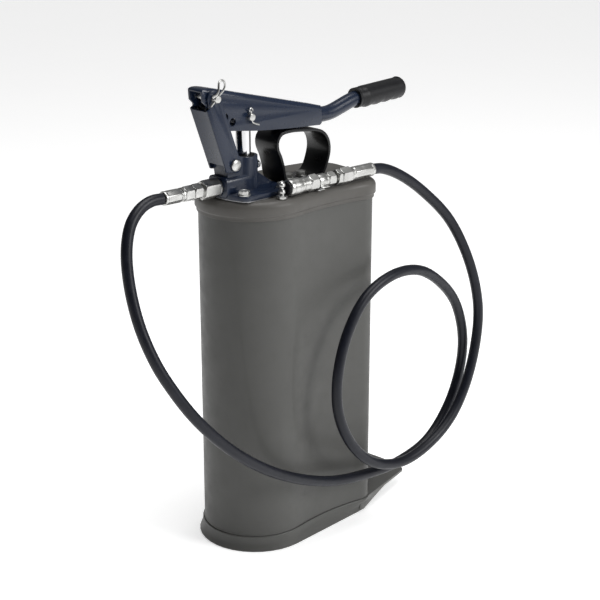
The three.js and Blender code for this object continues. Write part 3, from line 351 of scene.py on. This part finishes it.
def object_from(bm, name, sharp):
    """A smooth-shaded object, creased where its faces meet at more than sharp degrees."""
    mesh = bpy.data.meshes.new(name)
    bmesh.ops.recalc_face_normals(bm, faces=bm.faces)
    bm.to_mesh(mesh)
    bm.free()
    for polygon in mesh.polygons:
        polygon.use_smooth = True
    mesh.set_sharp_from_angle(angle=math.radians(sharp))
    obj = bpy.data.objects.new(name, mesh)
    bpy.context.scene.collection.objects.link(obj)
    return obj


def refine(node, bevel):
    """A copy of a CAD node with its flat facets merged and its hard edges rounded."""
    bm = bmesh.new()
    bm.from_mesh(frame["nodes"][node].data)
    bmesh.ops.remove_doubles(bm, verts=bm.verts, dist=0.01 * MM)
    bmesh.ops.dissolve_limit(
        bm, angle_limit=math.radians(0.8), verts=bm.verts, edges=bm.edges, use_dissolve_boundaries=False,
    )
    hard = [e for e in bm.edges if len(e.link_faces) == 2 and e.calc_face_angle() > math.radians(28)]
    if bevel:
        bmesh.ops.bevel(
            bm, geom=hard, offset=bevel, offset_type="OFFSET", segments=2, profile=0.5, affect="EDGES",
            clamp_overlap=True,
        )
    return finish_piece(object_from(bm, node + "_look", 38), node)


# ---------------------------------------------------------------- hose
HOSE_RADIUS = 7.5 * MM
HOSE_IN_FERRULE = 25 * MM            # how far the hose's end is pushed into its right ferrule
# middle line of the hose in millimetres, from the outlet ferrule to the parked coupler
HOSE_ROUTE = [
    (-216, -8, 516), (-232, -8, 516), (-251, -10, 510), (-270, -15, 495), (-283, -22, 469),
    (-290, -33, 430), (-291, -52, 378), (-282, -71, 330), (-265, -84, 291), (-239, -95, 249),
    (-198, -101, 203), (-152, -102, 164), (-104, -100, 132), (-49, -97, 104), (9, -94, 83),
    (73, -92, 72), (142, -90, 69), (208, -88, 84), (256, -84, 122), (285, -80, 170),
    (291, -80, 222), (268, -84, 284), (222, -90, 331), (168, -96, 361), (110, -100, 366),
    (57, -102, 346), (18, -105, 300), (-2, -108, 240), (0, -110, 190), (25, -112, 138),
    (68, -113, 99), (125, -113, 82), (182, -112, 91), (233, -110, 118), (270, -106, 160),
    (294, -103, 222), (302, -98, 278), (291, -88, 344), (260, -74, 412), (210, -66, 462),
    (161, -64, 495), (125, -64, 510), (105, -64, 512.5),
]


def smooth_line(points, steps):
    """Points on a centripetal Catmull-Rom curve through the given ones."""
    points = [Vector(p) for p in points]
    padded = [points[0] * 2 - points[1], *points, points[-1] * 2 - points[-2]]
    line = []
    for a, b, c, d in zip(padded, padded[1:], padded[2:], padded[3:]):
        t0 = 0.0
        t1 = t0 + (b - a).length ** 0.5
        t2 = t1 + (c - b).length ** 0.5
        t3 = t2 + (d - c).length ** 0.5
        for i in range(steps):
            t = t1 + (t2 - t1) * i / steps
            ab = a * ((t1 - t) / (t1 - t0)) + b * ((t - t0) / (t1 - t0))
            bc = b * ((t2 - t) / (t2 - t1)) + c * ((t - t1) / (t2 - t1))
            cd = c * ((t3 - t) / (t3 - t2)) + d * ((t - t2) / (t3 - t2))
            abc = ab * ((t2 - t) / (t2 - t0)) + bc * ((t - t0) / (t2 - t0))
            bcd = bc * ((t3 - t) / (t3 - t1)) + cd * ((t - t1) / (t3 - t1))
            line.append(abc * ((t2 - t) / (t2 - t1)) + bcd * ((t - t1) / (t2 - t1)))
    return [*line, points[-1]]


def make_hose():
    line = smooth_line([Vector(p) * MM for p in HOSE_ROUTE], 8)
    line.append(line[-1] - Vector((HOSE_IN_FERRULE, 0, 0)))
    curve = bpy.data.curves.new("delivery_hose_look", "CURVE")
    curve.dimensions = "3D"
    spline = curve.splines.new("POLY")
    spline.points.add(len(line) - 1)
    for point, place in zip(spline.points, line):
        point.co = (*place, 1)
    curve.bevel_depth = HOSE_RADIUS
    curve.bevel_resolution = 6
    curve.use_fill_caps = True
    hose = bpy.data.objects.new("delivery_hose_look", curve)
    bpy.context.scene.collection.objects.link(hose)
    finish_piece(hose, "delivery_hose")


# ---------------------------------------------------------------- spun pieces
def round_section(radius):
    """A section that is a circle."""
    return lambda angle: radius


def flats(count, apothem, cap):
    """A section with flats whose corners are turned down to the radius cap."""
    def radius(angle):
        half = math.pi / count
        turned = (angle + half) % (2 * half) - half
        return min(apothem / math.cos(turned), cap)
    return radius


def hexagon_rows(apothem, start, end, chamfer):
    """Rows of a nut between two stations: its corners run down to a circle at both ends."""
    corner = apothem / math.cos(math.pi / 6)
    narrow = apothem * 0.985
    steps = 3
    rows = []
    for step in range(steps + 1):
        share = step / steps
        cap = narrow + (corner - narrow) * share
        rows.append((start + chamfer * share, flats(6, apothem, cap)))
    rows += [(start + end - t, section) for t, section in reversed(rows)]
    return rows


def round_rows(pairs, start):
    """Circular rows from (station, radius) in millimetres, measured from start."""
    return [(start + t * MM, round_section(r * MM)) for t, r in pairs]


# turns a Z-up solid so that its stations run along the named axis
AXES = {
    "x": Matrix(((0, 0, 1), (1, 0, 0), (0, 1, 0))),
    "z": Matrix(((1, 0, 0), (0, 1, 0), (0, 0, 1))),
}


def spun(name, centre, axis, rows, around=72):
    """A solid whose rows are (station along the axis, section); a section gives radius from angle."""
    turn = AXES[axis]
    bm = bmesh.new()
    rings = []
    for station, section in rows:
        ring = []
        for i in range(around):
            angle = 2 * math.pi * i / around
            r = section(angle)
            local = Vector((r * math.cos(angle), r * math.sin(angle), station))
            ring.append(bm.verts.new(turn @ local + Vector(centre)))
        rings.append(ring)
    close_ends(bm, rings)
    return object_from(bm, name, 28)


def close_ends(bm, rings):
    """Skins a row of rings and fills the first and the last."""
    skin_between(bm, rings)
    bm.faces.new(rings[0])
    bm.faces.new(rings[-1])


def skin_between(bm, rings):
    """Skins each ring to the next; all have equally many corners."""
    for low, high in zip(rings, rings[1:]):
        for i, corner in enumerate(low):
            j = (i + 1) % len(low)
            bm.faces.new((corner, low[j], high[j], high[i]))


def middle_of(node, axis):
    """Middle of a node's box, moved along the axis to the origin, so that stations are positions."""
    low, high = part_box(node)
    centre = (low + high) / 2
    centre["xyz".index(axis)] = 0
    return centre


def span(node, axis):
    """Where a node starts and ends along an axis."""
    low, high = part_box(node)
    i = "xyz".index(axis)
    return low[i], high[i]


def make_nut(node):
    """A hexagon nut as long and as wide across its flats as the CAD node."""
    start, end = span(node, "x")
    low, high = span(node, "y")
    rows = hexagon_rows((high - low) / 2, start, end, 1.3 * MM)
    return finish_piece(spun(node + "_look", middle_of(node, "x"), "x", rows), node)


def make_ferrule(node, nut_end):
    """Crimped sleeve: eight pressed flats between a plain collar and a rounded mouth for the hose."""
    start, end = span(node, "x")
    if nut_end == "right":
        start, end = end, start
    towards = 1 if end > start else -1
    length = abs(end - start) / MM
    pressed = flats(8, 8.75 * MM, 9.3 * MM)
    stations = [
        *round_rows([(0, 8.5), (0.8, 9.3), (3.4, 9.3), (4.2, 8.3), (5.4, 8.3)], 0),
        (6.6 * MM, flats(8, 8.55 * MM, 9.1 * MM)), (7.4 * MM, pressed), ((length - 6) * MM, pressed),
        ((length - 4.6) * MM, flats(8, 8.6 * MM, 9.2 * MM)),
        *round_rows([(-3.4, 9.25), (-1, 9.3), (-0.3, 9.0), (0, 8.5), (0, 7.6)], length * MM),
    ]
    rows = [(start + towards * t, section) for t, section in stations]
    return finish_piece(spun(node + "_look", middle_of(node, "x"), "x", rows, around=96), node)


def make_adapter():
    """Outlet adapter: a collar against the casting, a long hexagon and a plain end."""
    start, end = span("outlet_adapter", "x")
    base = end - 3 * MM
    rows = round_rows([(0, 8.4), (-0.5, 8.9), (-3, 8.9), (-3, 11.2), (-3.4, 11.6), (-5.8, 11.6)], end)
    rows += [(base - t, section) for t, section in hexagon_rows(11.5 * MM, 3.2 * MM, 28 * MM, 1.6 * MM)]
    rows += round_rows([(0.2, 8.4), (0.2, 8.0), (-2.6, 8.0), (-3, 7.6)], start + 3 * MM)
    piece = spun("outlet_adapter_look", middle_of("outlet_adapter", "x"), "x", rows)
    return finish_piece(piece, "outlet_adapter")


def make_coupler():
    """Parked coupler: black seal, rounded nose sleeve with grooves, hexagon body and stem."""
    profiles = {
        "coupler_nose": nose_rows(), "coupler_seal": seal_rows(), "coupler_body": body_rows(),
        "coupler_stem": stem_rows(),
    }
    centre = middle_of("coupler_nose", "x")
    return {
        node: finish_piece(spun(node + "_look", centre, "x", rows), node) for node, rows in profiles.items()
    }


def nose_rows():
    return round_rows([
        (0, 9.1), (0, 10.1), (0.5, 10.6), (1.4, 10.9), (5.2, 10.9), (5.5, 10.5), (6.3, 10.5), (6.6, 10.9),
        (13.4, 10.9), (13.7, 10.5), (14.5, 10.5), (14.8, 10.9), (18.6, 10.9), (19.5, 10.6), (20, 10),
    ], span("coupler_nose", "x")[0])


def seal_rows():
    return round_rows(
        [(0, 4.2), (0, 7.4), (0.5, 8.3), (1.3, 8.6), (3.4, 8.6), (3.6, 8.4)], span("coupler_seal", "x")[0],
    )


def body_rows():
    start, end = span("coupler_body", "x")
    sleeve = round_rows([
        (0, 9.0), (0.5, 9.6), (3, 9.6), (3.3, 9.1), (4, 9.1), (4.3, 9.6), (12.4, 9.6), (13, 9.2),
        (14.6, 9.2), (15, 9.7),
    ], start)
    return sleeve + hexagon_rows(10 * MM, start + 15.4 * MM, end, 1.4 * MM)


def stem_rows():
    start, end = span("coupler_stem", "x")
    shank = round_rows([
        (0, 7.6), (0.5, 8.2), (3, 8.2), (3.4, 7.6), (4.2, 7.6), (4.6, 8.2), (18.4, 8.2), (19.2, 7.6),
        (19.4, 7.6),
    ], start)
    hexagon = hexagon_rows(8.5 * MM, start + 19.6 * MM, start + 31.6 * MM, 1.2 * MM)
    return shank + hexagon + round_rows([(-4.2, 5.6), (-0.4, 5.6), (0, 5.2)], end)


def make_bolt(node):
    """Flat washer and hexagon head; the shank runs down through the sheet."""
    low, high = span(node, "z")
    left, right = span(node, "x")
    washer = (right - left) / 2 / MM
    shank = 3.9
    head = 6.5
    seat = high - 6.6 * MM
    rows = round_rows([(0, shank)], low)
    rows += round_rows([
        (0, shank), (0, washer - 0.3), (0.2, washer), (1.2, washer), (1.5, washer - 0.3), (1.5, head * 0.98),
    ], seat)
    rows += hexagon_rows(head * MM, seat + 1.5 * MM, high, 0.9 * MM)
    rows += round_rows([(0, head * 0.8), (-0.25, head * 0.74)], high)
    return finish_piece(spun(node + "_look", middle_of(node, "z"), "z", rows), node)


def make_nipple():
    """Parking post in the shape of two balls on a hexagon foot."""
    low, high = span("parking_nipple", "z")
    foot = low + 2.3 * MM
    rows = round_rows([(0, 4), (2.3, 4), (2.3, 6)], low)
    rows += hexagon_rows(7 * MM, foot, foot + 3.6 * MM, 0.9 * MM)
    neck = [
        (3.6, 5.2), (4.2, 4.2), (4.9, 3.3), (5.6, 3.1), (6.6, 3.9), (7.6, 4.7), (9.2, 5.0), (10.6, 4.8),
        (12, 4.1), (13.2, 2.9), (13.9, 2.6), (14.6, 2.8), (15.6, 4.0), (17, 4.7), (18.6, 4.85), (20, 4.4),
        (21.3, 3.4), (22.1, 2.2), (22.4, 1.2),
    ]
    rows += round_rows(neck, foot)
    piece = spun("parking_nipple_look", middle_of("parking_nipple", "z"), "z", rows, around=48)
    return finish_piece(piece, "parking_nipple")


# ---------------------------------------------------------------- tank and lid
OUTLINE_POINTS = 260
TANK_SHEET = 1.5 * MM
LID_SHEET = 1.6 * MM
LID_GROWTH = 4.5 * MM                 # how far the lid's skirt stands out from the tank
LID_SHOULDER = 9 * MM
SPIGOT_HOLE = 22.4                    # radius of the pump's opening in the lid, in millimetres


def ring_at(node, height):
    """The node's corners at one height, in order round the origin."""
    seen = {}
    for vertex in frame["nodes"][node].data.vertices:
        x, y, z = vertex.co
        if abs(z - height) < 0.1 * MM:
            seen[(round(x, 5), round(y, 5))] = Vector((x, y, 0))
    return sorted(seen.values(), key=lambda p: math.atan2(p.y, p.x))


def tank_outline():
    """The tank's outer plan as evenly spaced points, read from the edge of its bottom sheet."""
    low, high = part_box("tank_bottom")
    line = smooth_loop(ring_at("tank_bottom", high.z), 12)
    points = evenly(line, OUTLINE_POINTS)
    inset = low.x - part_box("tank_shell")[0].x
    return grown(points, inset)


def smooth_loop(points, steps):
    """Points on a closed Catmull-Rom curve through the given ones."""
    looped = [points[-1], *points, points[0], points[1]]
    line = []
    for a, b, c, d in zip(looped, looped[1:], looped[2:], looped[3:]):
        for i in range(steps):
            t = i / steps
            line.append(0.5 * (
                2 * b + (c - a) * t
                + (2 * a - 5 * b + 4 * c - d) * t ** 2
                + (3 * b - a - 3 * c + d) * t ** 3
            ))
    return line


def evenly(line, count):
    """Points evenly spaced along a closed line."""
    closed = [*line, line[0]]
    lengths = [(b - a).length for a, b in zip(closed, closed[1:])]
    total = sum(lengths)
    points = []
    at = 0.0
    i = 0
    for k in range(count):
        wanted = total * k / count
        while at + lengths[i] < wanted:
            at += lengths[i]
            i += 1
        points.append(closed[i].lerp(closed[i + 1], (wanted - at) / lengths[i]))
    return points


def grown(points, distance):
    """The outline moved outwards by a distance."""
    moved = []
    n = len(points)
    for i, p in enumerate(points):
        along = (points[(i + 1) % n] - points[i - 1]).normalized()
        moved.append(p + Vector((along.y, -along.x, 0)) * distance)
    return moved


def swept(name, outline, rows, closed):
    """A skin swept round the tank's plan: rows are (growth, height). Not closed, its ends are filled."""
    bm = bmesh.new()
    rings = []
    for growth, height in rows:
        ring = grown(outline, growth)
        rings.append([bm.verts.new((p.x, p.y, height)) for p in ring])
    if closed:
        skin_between(bm, [*rings, rings[0]])
    else:
        close_ends(bm, rings)
    return object_from(bm, name, 40)


def raised(pairs, base):
    """Rows of (growth, height) from millimetres, with heights measured from base."""
    return [(growth * MM, base + height * MM) for growth, height in pairs]


def make_tank(outline):
    """Rolled sheet wall with a bead where it sits in the base."""
    low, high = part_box("tank_shell")
    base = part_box("base_pan")[1].z
    bead = raised([(0, 0.2), (0.7, 0.5), (0.9, 1.3), (0.6, 2.2), (0, 3.4)], base)
    start = bead[-1][1]
    levels = 12
    wall = [(0, start + (high.z - start) * i / levels) for i in range(1, levels + 1)]
    rows = [(-TANK_SHEET, low.z), (0, low.z), *bead, *wall, (-TANK_SHEET, high.z)]
    return finish_piece(swept("tank_shell_look", outline, rows, True), "tank_shell")


def make_lid(outline):
    """Pressed lid: stepped skirt, wide shoulder and flat top, hollow underneath."""
    low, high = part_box("lid")
    edge = LID_GROWTH - LID_SHOULDER
    inside = LID_GROWTH - LID_SHEET
    ceiling = high.z - LID_SHEET
    inner = [
        (edge, ceiling), (inside - 2.4 * MM, ceiling - 2.6 * MM), (inside, high.z - LID_SHOULDER),
        (inside, low.z + 8.6 * MM), *raised([(0.5, 6), (0.5, 0)], low.z),
    ]
    outer = raised([(1.8, 0), (2.2, 0.4), (2.2, 4.6), (2.5, 5.3), (4.1, 6.4)], low.z)
    outer.append((LID_GROWTH, low.z + 7.1 * MM))
    steps = 9
    for i in range(steps + 1):
        a = i * math.pi / 2 / steps
        outer.append((edge + LID_SHOULDER * math.cos(a), high.z - LID_SHOULDER + LID_SHOULDER * math.sin(a)))
    piece = swept("lid_look", outline, [*inner, *outer], False)
    bore_lid(piece)
    return finish_piece(piece, "lid")


def bore_lid(piece):
    """Opens the lid for the pump's spigot and cylinder."""
    centre = middle_of("cylinder_tube", "z")
    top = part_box("lid")[1].z
    rows = round_rows([(-12, SPIGOT_HOLE), (4, SPIGOT_HOLE)], top)
    cutter = spun("spigot_hole", centre, "z", rows, around=64)
    boolean = piece.modifiers.new("hole", "BOOLEAN")
    boolean.object = cutter
    boolean.operation = "DIFFERENCE"
    boolean.solver = "EXACT"
    applied(piece)
    bpy.data.objects.remove(cutter)


def applied(piece):
    """Replaces a piece's mesh by the one its modifiers make."""
    graph = bpy.context.evaluated_depsgraph_get()
    mesh = bpy.data.meshes.new_from_object(piece.evaluated_get(graph))
    piece.modifiers.clear()
    piece.data = mesh
    mesh.set_sharp_from_angle(angle=math.radians(40))


# ---------------------------------------------------------------- grip
GRIP_TILT = 0.056                     # rise of the grip towards its end, in radians
GRIP_CORE = 13.4 * MM
GRIP_SWELL = 2.4 * MM
GRIP_COLLAR = 4 * MM                  # length of the collar at the mouth
GRIP_DOME = 12 * MM                   # length of the domed end
GRIP_BUMPS = 4


def make_grip():
    """Moulded rubber grip: collar, four finger bumps underneath and a domed end."""
    points = [v.co for v in frame["nodes"]["hand_grip"].data.vertices]
    low_x = min(p.x for p in points)
    mouth = [p.y for p in points if p.x < low_x + GRIP_COLLAR]
    tip = max(points, key=lambda p: p.x)
    along = Vector((math.cos(GRIP_TILT), 0, math.sin(GRIP_TILT)))
    up = Vector((-math.sin(GRIP_TILT), 0, math.cos(GRIP_TILT)))
    side = Vector((0, 1, 0))
    start = Vector((tip.x, sum(mouth) / len(mouth), tip.z)) - along * (tip.x - low_x)
    length = (tip - start).length
    bm = bmesh.new()
    rings = []
    stations = 110
    around = 64
    for k in range(stations + 1):
        t = length * k / stations
        ring = []
        for i in range(around):
            angle = 2 * math.pi * i / around
            r = grip_radius(t, length, angle)
            place = start + along * t + side * r * math.cos(angle) + up * r * math.sin(angle)
            ring.append(bm.verts.new(place))
        rings.append(ring)
    close_ends(bm, rings)
    return finish_piece(object_from(bm, "hand_grip_look", 50), "hand_grip")


def grip_radius(t, length, angle):
    """Radius of the grip at a distance t from its mouth, in the direction angle; -90 degrees is down."""
    barrel = length - GRIP_DOME
    if t <= GRIP_COLLAR:
        radius = GRIP_CORE + 0.8 * MM
    elif t <= barrel:
        radius = GRIP_CORE + GRIP_SWELL * min(1, (t - GRIP_COLLAR) / (12 * MM))
    else:
        share = min(1, (t - barrel) / GRIP_DOME)
        radius = max(0.4 * MM, (GRIP_CORE + GRIP_SWELL) * math.sqrt(1 - share ** 2))
    below = max(0.0, -math.sin(angle))
    above = max(0.0, math.sin(angle))
    first = 8 * MM
    last = length - 10 * MM
    if first < t < last:
        wave = abs(math.sin(math.pi * GRIP_BUMPS * (t - first) / (last - first)))
        radius -= (2.2 * MM - 2.3 * MM * wave) * below ** 3
        radius -= 1.4 * MM * above ** 4
    return radius


# ---------------------------------------------------------------- everything together
PLAIN_BEVEL = 0.4 * MM
BEVEL = {
    "pump_casting": 1.0 * MM, "carry_handle": 0.9 * MM, "lever_channel": 0.7 * MM, "link_arm": 0.7 * MM,
    "base_pan": 0.5 * MM, "handle_tube": 0.5 * MM, "pump_rod": 0.5 * MM, "foot_ball": 0, "outlet_ball": 0,
    "outlet_spring": 0, "fulcrum_r_clip": 0, "rod_pin_cotter": 0, "lid_gasket": 0, "casting_gasket": 0,
}
NUTS = ("swivel_nut", "hose_nut_left", "lock_nut", "hose_nut_right")


def main():
    make_camera()
    make_studio()
    make_floor()
    outline = tank_outline()
    pieces = {"tank_shell": make_tank(outline), "lid": make_lid(outline), "hand_grip": make_grip()}
    for node in NUTS:
        pieces[node] = make_nut(node)
    pieces["hose_ferrule_left"] = make_ferrule("hose_ferrule_left", "right")
    pieces["hose_ferrule_right"] = make_ferrule("hose_ferrule_right", "left")
    pieces["outlet_adapter"] = make_adapter()
    pieces.update(make_coupler())
    pieces["parking_nipple"] = make_nipple()
    for node in sorted(frame["nodes"]):
        if node.startswith(("casting_bolt", "carry_handle_bolt")):
            pieces[node] = make_bolt(node)
    for node in sorted(frame["nodes"]):
        if node not in pieces and node != "delivery_hose":
            pieces[node] = refine(node, BEVEL.get(node, PLAIN_BEVEL))
    make_hose()


main()
